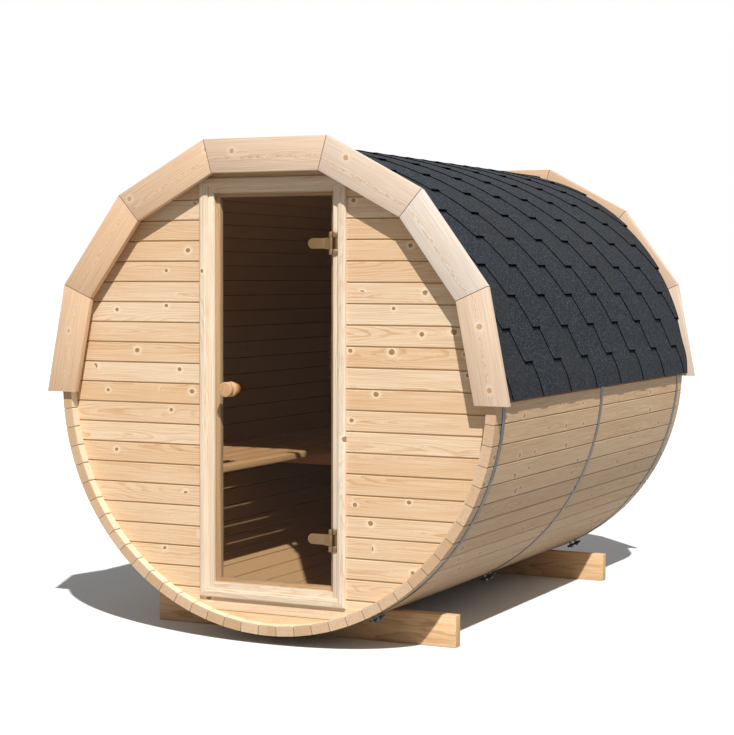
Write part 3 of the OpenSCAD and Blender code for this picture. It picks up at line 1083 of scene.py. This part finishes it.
@dataclass
class DoorFrame:
    """The frame members round the glass, and the mitred moulding on their face."""

    ease: float = 0.0016
    inner: Pair = (0.302, 0.83255)
    width: float = 0.036
    thickness: float = 0.016
    step: float = 0.008
    step_depth: float = 0.005
    nose: float = 0.0085
    lip: float = 0.0026

    def build(self) -> None:
        """Builds the frame members and the moulding."""
        upright = UprightWood("frame_upright_spruce", pale=(0.85, 0.78, 0.66), warm=(0.80, 0.69, 0.53),
                              seed=5.0, knot_step=0.5, ring_share=0.5).material()
        # The level members are the same spruce as the uprights, painted darker as painted shade against the
        # strong light on the sill's top.
        level = LevelWood("frame_level_spruce_shaded", pale=(0.76, 0.66, 0.52), warm=(0.72, 0.58, 0.41), seed=9.0,
                          knot_step=0.35, ring_share=0.5).material()
        for finish, nodes in ((upright, ("door_jamb_left", "door_jamb_right")),
                              (level, ("door_head", "door_sill"))):
            plane_nodes({node: node + "_planed" for node in nodes}, self.ease, Slot.FRAME, finish)
        side, top = (reach + self.width for reach in self.inner)
        for reach, half, finish, turns in ((self.inner[0], top, upright, {"right": 90, "left": -90}),
                                           (self.inner[1], side, level, {"top": 0, "bottom": 180})):
            board = self.moulding(half)
            for place, turn in turns.items():
                piece = Workshop.copy(board, f"trim_{place}_moulding")
                piece.matrix_world = Matrix.Translation((0, WALL_FACE_Y, AXIS_Z)) @ Matrix.Rotation(
                    math.radians(turn), 4, "Y") @ Matrix.Translation((0, 0, reach))
                hand_over(Workshop.settle(piece), Body.CABIN, Slot.FRAME, f"trim_{place}", finish)
            bpy.data.objects.remove(board)

    def moulding(self, half: float) -> Piece:
        """A length of moulding over the opening, mitred at both ends.

        Args:
            half: half of the length along the outer edge.

        Returns:
            The board, with its inner edge on the X axis and its face towards -Y.
        """
        low = self.thickness - self.step_depth
        board = Workshop.block("moulding", (-half, -low, 0), (half, 0, self.width))
        with Workshop.editing(board):
            Workshop.cut((0, 0, self.step), (0, 0, 1))
            Workshop.pick(board, "FACE", lambda f: f.normal.y < -0.9 and f.calc_center_median().z > self.step)
            Workshop.pull(0, -self.step_depth, 0)
            bpy.ops.mesh.select_all(action="SELECT")
            bpy.ops.mesh.normals_make_consistent(inside=False)
            self.soften(board, -self.thickness, self.width, self.nose, 6)
            self.soften(board, -self.thickness, self.step, self.lip, 3)
            self.soften(board, -low, 0.0, self.lip, 3)
            bpy.ops.mesh.select_all(action="SELECT")
            for end in (-1, 1):
                Workshop.cut((end * (half - self.width - PLAY), 0, 0), (end, 0, -1), clear=True)
            bpy.ops.mesh.remove_doubles(threshold=CLOSE)
            bpy.ops.mesh.normals_make_consistent(inside=False)
        Workshop.smooth(board, 35)
        return board

    @staticmethod
    def soften(board: Piece, y: float, z: float, width: float, segments: int) -> None:
        """Rounds the long edge at a given y and z.

        Args:
            board: the board, in edit mode.
            y: the edge's place along Y.
            z: its place along Z.
            width: the width of the rounding.
            segments: the steps of the rounding.
        """
        def on_edge(edge: "bmesh.types.BMEdge") -> bool:
            """True for an edge that runs along the board at that place.

            Args:
                edge: an edge of the board.

            Returns:
                Whether it is rounded.
            """
            first, second = (vert.co for vert in edge.verts)
            place = (first + second) / 2
            return abs(first.x - second.x) > LONG and abs(place.y - y) < CLOSE and abs(place.z - z) < CLOSE
        Workshop.pick(board, "EDGE", on_edge)
        Workshop.round_edges(width, segments)


@dataclass
class GlassDoor:
    """The glass leaf, its two hinges and the turned knobs."""

    glass_y: Pair = (-1.199, -1.191)
    knob_r: float = 0.031
    knob_length: float = 0.062
    knob_head: float = 0.0215
    knob_rounding: float = 0.0048
    waist: float = 0.48
    flare: float = 0.10
    flare_at: float = 0.55
    button_r: float = 0.023
    button_length: float = 0.024
    button_foot: float = 0.0101
    button_rounding: float = 0.003
    foot_shares: Pair = (0.7, 0.6)
    foot_waist_at: float = 0.7
    hinge_heights: Sequence[tuple[str, float]] = (("upper", 0.59655), ("lower", -0.59655))
    hinge: Pair = (0.274, -1.217)
    knuckle_r: float = 0.009
    knuckle_half: float = 0.046
    knuckle_gap: float = 0.0005
    knuckle_ease: float = 0.0012
    leaf_half: float = 0.023
    clamp_end: float = 0.262
    clamp_length: float = 0.100
    clamp_half: float = 0.021
    clamp_t: float = 0.003
    clamp_ease: float = 0.0007
    arm_start: float = 0.238
    arm_sink: float = 0.002
    arm_rounding: float = 0.0010
    bolt_r: float = 0.005
    bolt_reach: float = 0.002
    pin_r: float = 0.004
    pin_sink: float = 0.001
    pin_ease: float = 0.0004
    plate_x: Pair = (0.279, 0.3015)
    plate_t: float = 0.002
    plate_ease: float = 0.0005
    web_x: Pair = (0.276, 0.298)
    web_y: Pair = (-0.001, 0.003)
    web_stand: float = 0.0035

    def build(self) -> None:
        """Dresses the glass and builds the hinges and knobs."""
        dress_nodes(("door_glass",), BronzeGlass().material())
        wood = TurnedWood("turned_alder", pale=(0.65, 0.41, 0.21), warm=(0.56, 0.32, 0.15),
                          ring=(0.40, 0.21, 0.08), ring_pitch=0.0042, knot_step=3.0, rough=0.48).material()
        for side, piece in (("outside", self.knob("knob_outside_turned", self.glass_y[0] - PLAY)),
                            ("inside", self.button("knob_inside_turned", self.glass_y[1] + PLAY))):
            hand_over(piece, Body.DOOR, Slot.KNOB, f"knob_{side}", wood)
        metal = Metal("satin_bronze", (0.235, 0.152, 0.078), (0.170, 0.107, 0.052), 0.34,
                      (500.0, 40.0, 40.0)).material()
        for place, height in self.hinge_heights:
            leaf = self.clamp(f"hinge_{place}_clamp", AXIS_Z + height)
            hand_over(leaf, Body.DOOR, Slot.HINGE, f"hinge_leaf_{place}", metal)
            plate = self.knuckles(f"hinge_{place}_knuckles", AXIS_Z + height)
            hand_over(plate, Body.CABIN, Slot.HINGE, f"hinge_plate_{place}", metal)

    def knob(self, name: str, y: float) -> Piece:
        """Turns the spool-shaped knob outside: two rounded heads with a hollow waist between.

        Args:
            name: the piece's name.
            y: the face that it stands on.

        Returns:
            The knob.
        """
        far = y - self.knob_length
        middle = (y + far) / 2
        gap = self.knob_length / 2 - self.knob_head
        flares = {middle + end * self.flare_at * gap: self.waist + self.flare for end in (-1, 1)}
        return self.turned(name, (y, far), self.knob_r, {middle: self.waist, **flares},
                           (y, far, middle - gap, middle + gap), self.knob_rounding)

    def button(self, name: str, y: float) -> Piece:
        """Turns the flat knob inside: a disc on a narrower foot.

        Args:
            name: the piece's name.
            y: the face that it stands on.

        Returns:
            The knob.
        """
        far = y + self.button_length
        shares = dict(zip((y, y + self.foot_waist_at * self.button_foot), self.foot_shares))
        return self.turned(name, (y, far), self.button_r, shares, (far, y + self.button_foot),
                           self.button_rounding)

    @staticmethod
    def turned(name: str, ends: Pair, radius: float, shares: dict[float, float], rims: Sequence[float],
               rounding: float) -> Piece:
        """Turns a piece about the knob's axis from a rod.

        Args:
            name: the piece's name.
            ends: where it starts and stops along Y.
            radius: the radius of the rod.
            shares: for places along Y, the share of the radius that is left there.
            rims: the places along Y that have an edge to round.
            rounding: the width of the rounding.

        Returns:
            The piece.
        """
        piece = Workshop.rod(name, radius, *((KNOB_X, end, AXIS_Z) for end in ends), 48)
        with Workshop.editing(piece):
            Workshop.score(sorted({*shares, *rims} - {*ends}))
            for level, share in shares.items():
                Workshop.pick(piece, "VERT", lambda v, level=level: abs(v.co.y - level) < CLOSE)
                bpy.ops.transform.resize(value=(share, 1, share), center_override=(KNOB_X, level, AXIS_Z))
            Workshop.pick(piece, "EDGE", lambda e: any(
                all(abs(level - v.co.y) < CLOSE for v in e.verts) for level in rims))
            Workshop.round_edges(rounding, 4)
        Workshop.outward(piece)
        Workshop.smooth(piece, 50)
        return piece

    def clamp(self, name: str, z: float) -> Piece:
        """The moving half of a hinge: two plates with a round end, an arm, the middle knuckle and a bolt.

        Args:
            name: the piece's name.
            z: the height of its middle.

        Returns:
            The piece.
        """
        start, front = self.clamp_end - self.clamp_length, self.glass_y[0] - PLAY - self.clamp_t
        made = []
        for y in (front, self.glass_y[1] + PLAY):
            plate = Workshop.block(f"{name}_plate", (start, y, z - self.clamp_half),
                                   (self.clamp_end, y + self.clamp_t, z + self.clamp_half))
            with Workshop.editing(plate):
                Workshop.pick(plate, "EDGE", lambda e: all(abs(v.co.x - start) < CLOSE for v in e.verts)
                              and abs(e.verts[0].co.z - e.verts[1].co.z) < CLOSE)
                Workshop.round_edges(self.clamp_half - PLAY, 10)
            made.append(Workshop.ease(plate, self.clamp_ease))
        arm = Workshop.block(f"{name}_arm", (self.arm_start, front - PLAY, z - self.leaf_half),
                             (self.hinge[0] - self.arm_sink, front - PLAY + self.clamp_t, z + self.leaf_half))
        with Workshop.editing(arm):
            Workshop.pick(arm, "VERT", lambda v: v.co.x > self.clamp_end)
            bpy.ops.transform.translate(value=(0, self.hinge[1] - front + self.arm_sink, 0))
            Workshop.pick(arm, "EDGE", lambda e: abs(e.verts[0].co.z - e.verts[1].co.z) > LONG)
            Workshop.round_edges(self.arm_rounding, 2)
        knuckle = self.barrel(f"{name}_knuckle", z - self.leaf_half, z + self.leaf_half)
        middle = self.clamp_end - self.clamp_length / 2
        bolt = self.pin(f"{name}_bolt", self.bolt_r, (middle, self.glass_y[0] - self.bolt_reach, z),
                        (middle, self.glass_y[1] + self.bolt_reach, z))
        return Workshop.join(name, *made, arm, knuckle, bolt)

    def barrel(self, name: str, low: float, high: float) -> Piece:
        """A hinge knuckle with softened ends."""
        knuckle = Workshop.rod(name, self.knuckle_r, (*self.hinge, low), (*self.hinge, high), 32)
        return Workshop.ease(knuckle, self.knuckle_ease, 2, 60)

    def pin(self, name: str, radius: float, start: Sequence[float], end: Sequence[float]) -> Piece:
        """A small pin or bolt."""
        return Workshop.ease(Workshop.rod(name, radius, start, end, 24), self.pin_ease, 1)

    def knuckles(self, name: str, z: float) -> Piece:
        """The fixed half of a hinge: a plate on the frame, two outer knuckles on their webs, and the pin.

        Args:
            name: the piece's name.
            z: the height of its middle.

        Returns:
            The piece.
        """
        outer, inner = self.knuckle_half, self.leaf_half + self.knuckle_gap
        plate = Workshop.block(f"{name}_plate", (self.plate_x[0], WALL_FACE_Y - self.plate_t, z - outer),
                               (self.plate_x[1], WALL_FACE_Y, z + outer))
        made = [Workshop.ease(plate, self.plate_ease)]
        for low, high in ((z - outer, z - inner), (z + inner, z + outer)):
            made.append(self.barrel(f"{name}_end", low, high))
            web = Workshop.block(f"{name}_web", (self.web_x[0], self.hinge[1] + self.web_y[0], low),
                                 (self.web_x[1], self.hinge[1] + self.web_y[1], high))
            with Workshop.editing(web):
                Workshop.pick(web, "VERT", lambda v: v.co.x > self.plate_x[0])
                bpy.ops.transform.translate(value=(0, WALL_FACE_Y - self.web_stand - self.hinge[1], 0))
            made.append(Workshop.ease(web, self.plate_ease, 1))
        pin = self.pin(f"{name}_pin", self.pin_r, (*self.hinge, z - outer + self.pin_sink),
                       (*self.hinge, z + outer - self.pin_sink))
        return Workshop.join(name, *made, pin)


@dataclass
class Roof:
    """Courses of six-sided shingle tabs laid round the barrel, with lapped caps along the crest."""

    TONE = "tab_tone"
    BENDS = (0.2, 0.4, 0.6, 0.8, 1.0)
    HIGH_BENDS = (1.3, 1.55, 1.8)
    CAP_BENDS = (-0.3, -0.1, 0.1, 0.3)
    STARTER_COURSE = 40
    SCATTER = (12.9898, 78.233, 37.7, 43758.5453)
    roof_r: float = 1.0028
    courses: int = 12
    angle: float = math.radians(7.75)
    period: float = 1 / 3
    tabs: int = 12
    tabs_before: int = 3
    dash: float = 0.078
    notch: float = 1.08
    reach: float = 2.12
    starter_reach: float = 1.15
    sheet_t: float = 0.0035
    edge_rise: float = 0.0110
    fall: float = 0.0036
    lap_gap: float = 0.0001
    # The depth of the strip at each tab's lower edge that is painted black as painted shadow.
    band: float = 0.0075
    worn_from: float = 0.55
    batten_lift: float = 0.0145
    lift_from: float = math.radians(79.5)
    lift_to: float = math.radians(87.6)
    first_tab: float = -0.932
    end_y: float = 1.2495
    crest_gap: float = math.radians(0.15)
    cap_half: float = math.radians(5.0)
    cap_step: float = 1 / 6
    cap_reach: float = 1.4
    cap_rise: float = 0.0135
    cap_fall: float = 0.0040
    cap_t: Pair = (0.0036, 0.0016)
    cap_fold: float = 0.003
    finishes: Sequence[Material] = ()

    def build(self) -> None:
        """Lays the courses on both sides, and the caps."""
        self.finishes = (Shingle().material(), CutEdgeAndShadow().material())
        rows = [self.row("even_row", self.first_tab), self.row("odd_row", self.first_tab - self.period / 2)]
        starter = self.starter()
        for side, name in ((1, "right"), (-1, "left")):
            laid = []
            for course in range(self.courses):
                sheet = Workshop.copy(rows[(course + 1) % 2], f"course_{name}_{course}")
                start = EAVE - course * self.angle
                # The lowest course has no painted shadow strip along the eave.
                if not course:
                    self.edge_shadow_finish(sheet, 0)
                if start < self.reach * self.angle:
                    with Workshop.editing(sheet):
                        Workshop.cut((0, (start - self.crest_gap) * self.roof_r, 0), (0, 1, 0), clear=True)
                self.roll(sheet, side, start, course)
                laid.append(sheet)
            strip = Workshop.copy(starter, f"starter_{name}")
            self.roll(strip, side, EAVE, self.STARTER_COURSE, under=True)
            piece = Workshop.join(f"shingles_{name}", *laid, strip)
            hand_over(piece, Body.CABIN, Slot.SHINGLE, f"roof_{name}")
        hand_over(self.caps(), Body.CABIN, Slot.SHINGLE, "roof_ridge")
        for pattern in (*rows, starter):
            bpy.data.objects.remove(pattern)
        batten = PlanedWood("batten_spruce", pale=(0.72, 0.50, 0.28), warm=(0.62, 0.38, 0.18), seed=31.0)
        dress_nodes(("eave_batten_left", "eave_batten_right"), batten.material())

    @property
    def pitch(self) -> float:
        """The distance between two courses along the roof."""
        return self.angle * self.roof_r

    def row(self, name: str, first: float) -> Piece:
        """A flat row of tabs, cut to the length of the roof.

        Args:
            name: the object's name.
            first: the place of a tab's middle along the row.

        Returns:
            The row, with its lower edge on the X axis and X along the roof.
        """
        top = self.notch * self.pitch
        wide = self.dash / 2 + (self.period / 2 - self.dash) * self.notch
        tab = Workshop.sheet(name, 2 * wide, top)
        with Workshop.editing(tab):
            Workshop.pick(tab, "VERT", lambda v: v.co.y < top / 2)
            bpy.ops.transform.resize(value=(self.dash / 2 / wide, 1, 1), center_override=(0, 0, 0))
            Workshop.pick(tab, "EDGE", lambda e: all(v.co.y > top - CLOSE for v in e.verts))
            Workshop.pull(0, self.reach * self.pitch - top, 0)
            for end in (-1, 1):
                Workshop.pick(tab, "EDGE", lambda e: all(
                    v.co.y > top - CLOSE and v.co.x * end > wide - CLOSE for v in e.verts))
                Workshop.pull(end * (self.period / 2 - wide), 0, 0)
            bpy.ops.mesh.select_all(action="SELECT")
            Workshop.score((self.band, *(share * self.pitch for share in self.BENDS + self.HIGH_BENDS)))
        Workshop.only(tab)
        run = tab.modifiers.new("run", "ARRAY")
        run.count = self.tabs
        run.use_relative_offset, run.use_constant_offset = False, True
        run.constant_offset_displace = (self.period, 0, 0)
        run.use_merge_vertices, run.merge_threshold = True, CLOSE
        bpy.ops.object.modifier_apply(modifier=run.name)
        tab.location = (first - self.tabs_before * self.period, 0, 0)
        Workshop.settle(tab)
        with Workshop.editing(tab):
            bpy.ops.mesh.normals_make_consistent(inside=False)
            for end in (-1, 1):
                Workshop.cut((end * self.end_y, 0, 0), (end, 0, 0), clear=True, fill=False)
        self.shade_tabs(tab, first)
        self.thicken(tab)
        self.edge_shadow_finish(tab, 1)
        return tab

    def edge_shadow_finish(self, sheet: Piece, finish: int) -> None:
        """Gives the strip along the lower edge of a flat row its finish: 1 paints it black as painted shadow
        of the tab's edge on the course below, and 0 leaves it slate.

        Args:
            sheet: the flat row.
            finish: the number of the finish.
        """
        for face in sheet.data.polygons:
            if face.center.z > -self.sheet_t / 4 and face.center.y < self.band:
                face.material_index = finish

    def shade_tabs(self, sheet: Piece, first: float) -> None:
        """Numbers the tabs along a row, for the shingle's tone.

        Args:
            sheet: the flat sheet.
            first: the place of a tab's middle along it.
        """
        tone = sheet.data.attributes.new(self.TONE, "FLOAT", "FACE")
        for face in sheet.data.polygons:
            tone.data[face.index].value = math.floor((face.center.x - first) / self.period + 0.5)

    def thicken(self, sheet: Piece) -> None:
        """Gives a flat sheet its thickness downwards, with cut edges.

        Args:
            sheet: the flat sheet.
        """
        Workshop.only(sheet)
        if sheet.data.polygons[0].normal.z < 0:
            with Workshop.editing(sheet):
                bpy.ops.mesh.flip_normals()
        solid = sheet.modifiers.new("thickness", "SOLIDIFY")
        solid.thickness, solid.offset = self.sheet_t, -1
        solid.material_offset_rim = 1
        dress(sheet, *self.finishes)
        bpy.ops.object.modifier_apply(modifier=solid.name)

    def starter(self) -> Piece:
        """A plain strip that lies under the lowest tabs.

        Returns:
            The strip, with its lower edge on the X axis.
        """
        strip = Workshop.sheet("starter", 2 * self.end_y, self.pitch * self.starter_reach)
        with Workshop.editing(strip):
            Workshop.score(share * self.pitch for share in self.BENDS)
        self.shade_tabs(strip, 0.0)
        self.thicken(strip)
        return strip

    def lift(self, angle: float) -> float:
        """How far the batten holds the shingles off the barrel at an angle from the crest."""
        share = min(max((angle - self.lift_from) / (self.lift_to - self.lift_from), 0), 1)
        return self.batten_lift * share * share * (3 - 2 * share)

    def rise(self, share: float) -> float:
        """How far a sheet's face stands off the roof, at a share of a course above its lower edge."""
        return max(self.edge_rise - self.fall * share, 0.0)

    @staticmethod
    def on_barrel(radius: float, angle: float, along: float) -> Point:
        """The point at a radius from the barrel's axis and an angle from the crest."""
        return radius * math.sin(angle), along, AXIS_Z + radius * math.cos(angle)

    def roll(self, sheet: Piece, side: int, start: float, course: int, under: bool = False) -> None:
        """Rolls a flat sheet on to the barrel and settles the tone of its tabs.

        Args:
            sheet: the sheet, with its lower edge on the X axis.
            side: 1 on the right, -1 on the left.
            start: the angle of its lower edge from the crest.
            course: the number of the course, for its tones.
            under: true for the strip under the lowest course.
        """
        for vert in sheet.data.vertices:
            along, slope, layer = vert.co
            share = slope / self.pitch + (1 if under else 0)
            angle = start - slope / self.roof_r
            upper = layer > -self.sheet_t / 2
            rise = self.rise(share) if upper else self.rise(share + 1) + self.lap_gap
            vert.co = self.on_barrel(self.roof_r + self.lift(angle) + rise, side * angle, along)
        by_tab, by_course, by_side, spread = self.SCATTER
        for item in sheet.data.attributes[self.TONE].data:
            mixed = math.sin(item.value * by_tab + course * by_course + side * by_side) * spread
            chance = mixed - math.floor(mixed)
            item.value = max(chance - self.worn_from, 0) / (1 - self.worn_from)
        Workshop.outward(sheet)

    def caps(self) -> Piece:
        """Folded caps along the crest, each lapping the next, with their lower edges to the front.

        Returns:
            The caps, as one piece.
        """
        width = 2 * self.cap_half * self.roof_r
        cap = Workshop.sheet("cap", width, self.cap_step * self.cap_reach)
        with Workshop.editing(cap):
            for share in self.CAP_BENDS:
                Workshop.cut((share * width, 0, 0), (1, 0, 0))
            Workshop.score((self.cap_step / 2,))
        self.shade_tabs(cap, 0.0)
        self.thicken(cap)
        laid = []
        for number in range(int(2 * self.end_y / self.cap_step) + 1):
            piece = Workshop.copy(cap, f"cap_{number}")
            front = number * self.cap_step - self.end_y
            with Workshop.editing(piece):
                Workshop.cut((0, self.end_y - front, 0), (0, 1, 0), clear=True)
            for vert in piece.data.vertices:
                angle, back = vert.co.x / self.roof_r, vert.co.y / self.cap_step
                rise = self.cap_rise - self.cap_fall * back - self.cap_fold * (1 - abs(angle) / self.cap_half)
                if vert.co.z <= -self.sheet_t / 2:
                    rise -= self.cap_t[0] - self.cap_t[1] * back
                vert.co = self.on_barrel(self.roof_r + rise, angle, front + vert.co.y)
            for item in piece.data.attributes[self.TONE].data:
                item.value = (number * 7 % 5) / 9
            Workshop.outward(piece)
            laid.append(piece)
        bpy.data.objects.remove(cap)
        return Workshop.join("ridge_caps", *laid)


@dataclass
class Fascia:
    """The arches of mitred boards at the two ends of the roof."""

    ease: float = 0.0022

    def build(self) -> None:
        """Builds both arches with eased edges."""
        wood = ArchWood("fascia_spruce", pale=(0.80, 0.73, 0.65), warm=(0.73, 0.51, 0.325),
                        ring=(0.60, 0.36, 0.18), heart=(0.58, 0.33, 0.145), knot=(0.36, 0.17, 0.065),
                        halo=(0.80, 0.67, 0.52), seed=17.0, knot_lane=0.16, knot_step=0.33, ring_share=0.6,
                        flecks=0.8, spread=0.045)
        names = {f"fascia_{end}": f"fascia_{end}_boards" for end in ("front", "rear")}
        plane_nodes(names, self.ease, Slot.FASCIA, wood.material())


@dataclass
class Skids:
    """The two hollowed planks that the barrel lies on."""

    ease: float = 0.0045

    def build(self) -> None:
        """Builds both planks with rounded edges."""
        wood = LevelWood("skid_spruce", pale=(0.85, 0.58, 0.33), warm=(0.78, 0.48, 0.24),
                         ring=(0.52, 0.28, 0.11), seed=23.0, half_width=0.0665, knot_lane=0.2, knot_step=0.45,
                         end_at=0.708, ring_share=0.7, ring_pitch=0.0075)
        names = {f"skid_{end}": f"skid_{end}_plank" for end in ("front", "rear")}
        plane_nodes(names, self.ease, Slot.SKID, wood.material())


@dataclass
class Bench:
    """The slatted bench on the left, on its bearers."""

    ease: float = 0.004

    def build(self) -> None:
        """Builds the slats and the bearers with rounded edges."""
        slats = PlanedWood("bench_aspen", pale=(0.80, 0.64, 0.44), warm=(0.74, 0.55, 0.34), seed=41.0,
                           half_width=0.052, ring_share=0.35, knot_step=2.0)
        bearers = LevelWood("bearer_spruce", pale=(0.76, 0.57, 0.36), warm=(0.68, 0.46, 0.25), seed=47.0)
        for node, wood, ease in (("bench_slats", slats, self.ease),
                                 ("bench_bearers", bearers, self.ease / 2)):
            plane_nodes({node: node + "_planed"}, ease, Slot.BENCH, wood.material())


@dataclass
class Studio:
    """The floor, the light and the camera."""

    camera_at: Point = (3.6087, -7.7380, 1.5006)
    yaw: float = 0.4530
    pitch: float = -0.0487
    roll: float = 0.0024
    lens: float = 89.73
    sensor: float = 36
    view_end: float = 300
    sun_from: Point = (0.68, -1.0, 1.28)
    sun_strength: float = 4.5
    sun_angle: float = math.radians(0.9)
    sky: float = 0.28
    sky_colour: Colour = (0.94, 0.97, 1.0)
    floor_size: float = 160
    floor_at: Point = (0, 30, 0)
    floor_pale: Colour = (0.93, 0.93, 0.93)
    floor_dim: Colour = (0.36, 0.35, 0.33)

    def build(self) -> None:
        """Sets the stage."""
        bpy.context.scene.view_settings.view_transform = "Standard"
        self.floor()
        self.lights()
        self.world()
        self.camera()

    def floor(self) -> None:
        """A plain pale floor, dimmer for light that bounces off it than for the camera."""
        bpy.ops.object.select_all(action="DESELECT")
        bpy.ops.mesh.primitive_plane_add(size=self.floor_size, location=self.floor_at)
        floor = Workshop.named("studio_floor")
        graph = Graph("pale_floor")
        graph.set(Base_Color=graph.mix(graph.seen(), self.floor_dim, self.floor_pale), Roughness=0.9,
                  Specular_IOR_Level=0.0)
        dress(floor, graph.owner)

    def lights(self) -> None:
        """One soft key light from the front right."""
        bpy.ops.object.select_all(action="DESELECT")
        bpy.ops.object.light_add(type="SUN", location=Vector(self.sun_from) * 4)
        sun = bpy.context.active_object
        sun.name = "key_light"
        sun.rotation_euler = Vector(self.sun_from).to_track_quat("Z", "Y").to_euler()
        sun.data.energy = self.sun_strength
        sun.data.angle = self.sun_angle

    def world(self) -> None:
        """Even fill light, seen as white."""
        graph = Graph("studio", world=True)
        bpy.context.scene.world = graph.owner
        graph.set(Color=self.sky_colour, Strength=self.sky)
        white = graph.node("ShaderNodeBackground", None, {"Color": (1, 1, 1), "Strength": 1.0})
        graph.show(graph.node("ShaderNodeMixShader", None, {0: graph.seen(), 1: graph.shader, 2: white}))

    def camera(self) -> None:
        """The photograph's point of view."""
        bpy.ops.object.select_all(action="DESELECT")
        bpy.ops.object.camera_add(location=self.camera_at)
        camera = bpy.context.active_object
        camera.name = "camera"
        turn = Euler((math.pi / 2 + self.pitch, 0, self.yaw)).to_matrix() @ Matrix.Rotation(self.roll, 3, "Z")
        camera.rotation_euler = turn.to_euler()
        camera.data.lens = self.lens
        camera.data.sensor_width = self.sensor
        camera.data.clip_end = self.view_end
        bpy.context.scene.camera = camera


def main() -> None:
    """Builds the sub-assemblies in order."""
    logging.basicConfig(level=logging.INFO, format="%(name)s: %(message)s")
    for part in (Studio(), Shell(), EndWalls(), DoorFrame(), GlassDoor(), Roof(), Fascia(), Skids(), Bench()):
        LOG.info("building %s", type(part).__name__)
        part.build()


if __name__ == "__main__":
    main()
